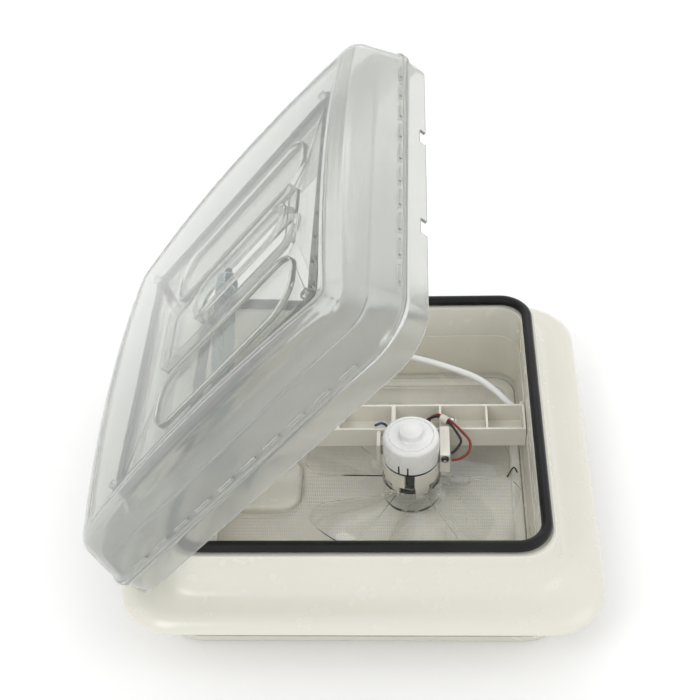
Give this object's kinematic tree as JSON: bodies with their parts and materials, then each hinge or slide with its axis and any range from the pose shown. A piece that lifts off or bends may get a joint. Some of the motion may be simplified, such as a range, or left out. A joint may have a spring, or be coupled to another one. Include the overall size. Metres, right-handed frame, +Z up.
{
  "type": "roof vent cover",
  "caption": "Caravan roof vent with a bonded frame, a clear hinged lid on a cranked lift arm, a rubber seal, an insect screen and a fan on a cross beam.",
  "frame": {"origin": "under the middle of the part's box at the stored pose, at the underside of the ceiling trim", "axes": "+Z up through the roof; +X from the lid's hinge side to its free side; -Y towards the front long view"},
  "size_m": [0.3945, 0.37, 0.3568],
  "materials": {
    "white_plastic": "moulded cream-white plastic, slightly glossy",
    "liner_plastic": "moulded cream plastic, satin",
    "cap_plastic": "cool white moulded plastic",
    "beam_plastic": "white moulded plastic, satin",
    "clear_plastic": "clear moulded acrylic, lightly frosted",
    "seal_rubber": "black tubular rubber",
    "screen_mesh": "woven grey insect mesh",
    "plated_steel": "zinc-plated pressed steel",
    "motor_steel": "drawn steel motor case",
    "screw_steel": "plated steel",
    "gear_plastic": "natural acetal",
    "circuit_board": "solder-masked laminate",
    "button_plastic": "grey keycap plastic",
    "lens_plastic": "green light pipe",
    "black_plastic": "black moulded plastic",
    "cable_white": "white cable jacket",
    "lead_red": "dark red wire insulation",
    "lead_black": "black wire insulation",
    "lead_blue": "dark blue wire insulation",
    "sleeve_plastic": "heat-shrink sleeve"
  },
  "bodies": {
    "frame": {"outer_frame": "white_plastic", "trim_ring": "white_plastic", "screen_frame": "white_plastic", "control_pod": "white_plastic", "control_panel": "white_plastic", "cable_gland_back": "white_plastic", "cable_gland_right": "white_plastic", "inner_liner": "liner_plastic", "motor_cap": "cap_plastic", "cross_beam": "beam_plastic", "motor_clamp": "beam_plastic", "dome_seal": "seal_rubber", "insect_screen": "screen_mesh", "motor_can": "motor_steel", "arm_pivot_pin": "screw_steel", "hinge_pin_front": "screw_steel", "hinge_pin_back": "screw_steel", "beam_screw_left": "screw_steel", "beam_screw_right": "screw_steel", "clamp_screw": "screw_steel", "trim_screw_free": "screw_steel", "trim_screw_back": "screw_steel", "trim_screw_hinge": "screw_steel", "trim_screw_front": "screw_steel", "gear_bracket": "gear_plastic", "control_board": "circuit_board", "indicator_lens": "lens_plastic", "motor_gasket": "black_plastic", "clamp_grommet": "black_plastic", "power_cable": "cable_white", "lead_red": "lead_red", "lead_black": "lead_black", "lead_blue": "lead_blue", "lead_sleeve": "sleeve_plastic"},
    "lid": {"outer_dome": "clear_plastic", "inner_pan": "clear_plastic", "slide_track": "clear_plastic", "lid_post_hinge_front": "clear_plastic", "lid_post_hinge_back": "clear_plastic", "lid_post_free_front": "clear_plastic", "lid_post_free_back": "clear_plastic"},
    "lift_arm": {"lift_arm": "plated_steel", "roller_axle": "screw_steel", "roller_front": "black_plastic", "roller_back": "black_plastic", "worm_gear": "gear_plastic"},
    "crank": {"crank_knob": "white_plastic", "crank_worm": "plated_steel"},
    "fan": {"fan_rotor": "clear_plastic", "motor_shaft": "screw_steel"},
    "fan_speed_button": {"fan_speed_button": "button_plastic"},
    "fan_power_button": {"fan_power_button": "button_plastic"},
    "fan_direction_button": {"fan_direction_button": "button_plastic"}
  },
  "joints": [
    {"name": "lid_hinge", "type": "hinge", "parent": "frame", "child": "lid", "pos_m": [-0.15797, 0, 0.0661], "axis": [0, -1, 0], "range_deg": [-49.8, 0]},
    {"name": "arm_hinge", "type": "hinge", "parent": "frame", "child": "lift_arm", "pos_m": [-0.11462, 0, 0.034], "axis": [0, -1, 0], "range_deg": [-56.2, 0.1]},
    {"name": "crank_turn", "type": "hinge", "parent": "frame", "child": "crank", "pos_m": [-0.09462, 0, 0.02], "axis": [0, 0, -1], "range_deg": [-2250, 1]},
    {"name": "fan_spin", "type": "hinge", "parent": "frame", "child": "fan", "pos_m": [0.05078, -0.016, 0.03], "axis": [0, 0, 1], "continuous": true},
    {"name": "fan_speed_press", "type": "slide", "parent": "frame", "child": "fan_speed_button", "axis": [0, 0, 1], "range_m": [0, 0.001], "stiffness_N_per_m": 400, "springref_m": -0.0005},
    {"name": "fan_power_press", "type": "slide", "parent": "frame", "child": "fan_power_button", "axis": [0, 0, 1], "range_m": [0, 0.001], "stiffness_N_per_m": 400, "springref_m": -0.0005},
    {"name": "fan_direction_press", "type": "slide", "parent": "frame", "child": "fan_direction_button", "axis": [0, 0, 1], "range_m": [0, 0.001], "stiffness_N_per_m": 400, "springref_m": -0.0005}
  ],
  "couplings": [
    {"joint": "arm_hinge", "follows": "lid_hinge", "ratio": 1.1265},
    {"joint": "crank_turn", "follows": "lid_hinge", "ratio": 45.06}
  ]
}
